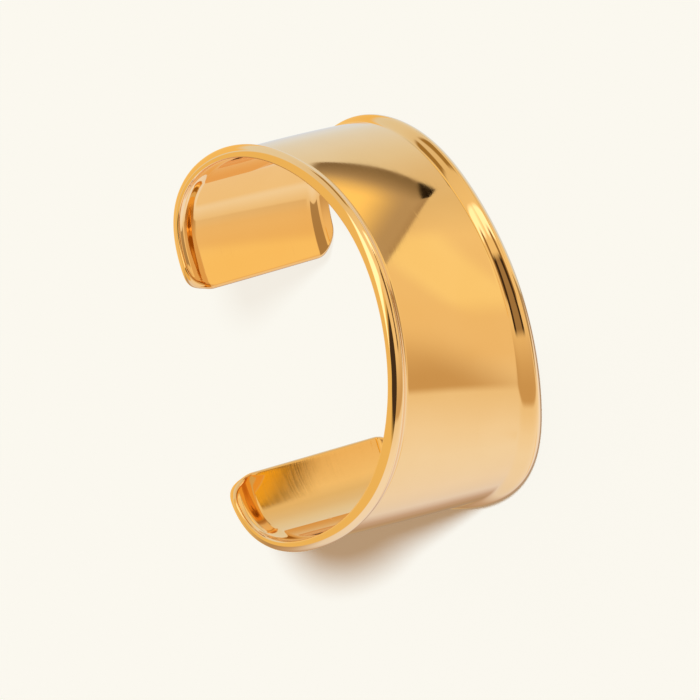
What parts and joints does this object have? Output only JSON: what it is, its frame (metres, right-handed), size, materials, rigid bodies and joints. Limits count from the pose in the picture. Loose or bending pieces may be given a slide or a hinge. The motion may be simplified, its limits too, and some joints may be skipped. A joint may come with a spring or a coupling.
{
  "type": "cuff bracelet",
  "caption": "Wide open C-shaped cuff bracelet of one bent metal sheet, with a raised rounded bead along both rims and rounded corners at the mouth.",
  "frame": {"origin": "middle of the cuff's box in X and Y, at the height of the lower rim that it lies on", "axes": "+Z along the wrist, from the lower rim to the upper rim; +X along the oval's long axis; +Y from the mouth to the back, so the wrist enters through the mouth along +Y"},
  "size_m": [0.063, 0.0414, 0.0364],
  "materials": {
    "polished_gold": "mirror-polished yellow gold plating"
  },
  "bodies": {
    "root": {"cuff_band": "polished_gold"}
  },
  "joints": []
}
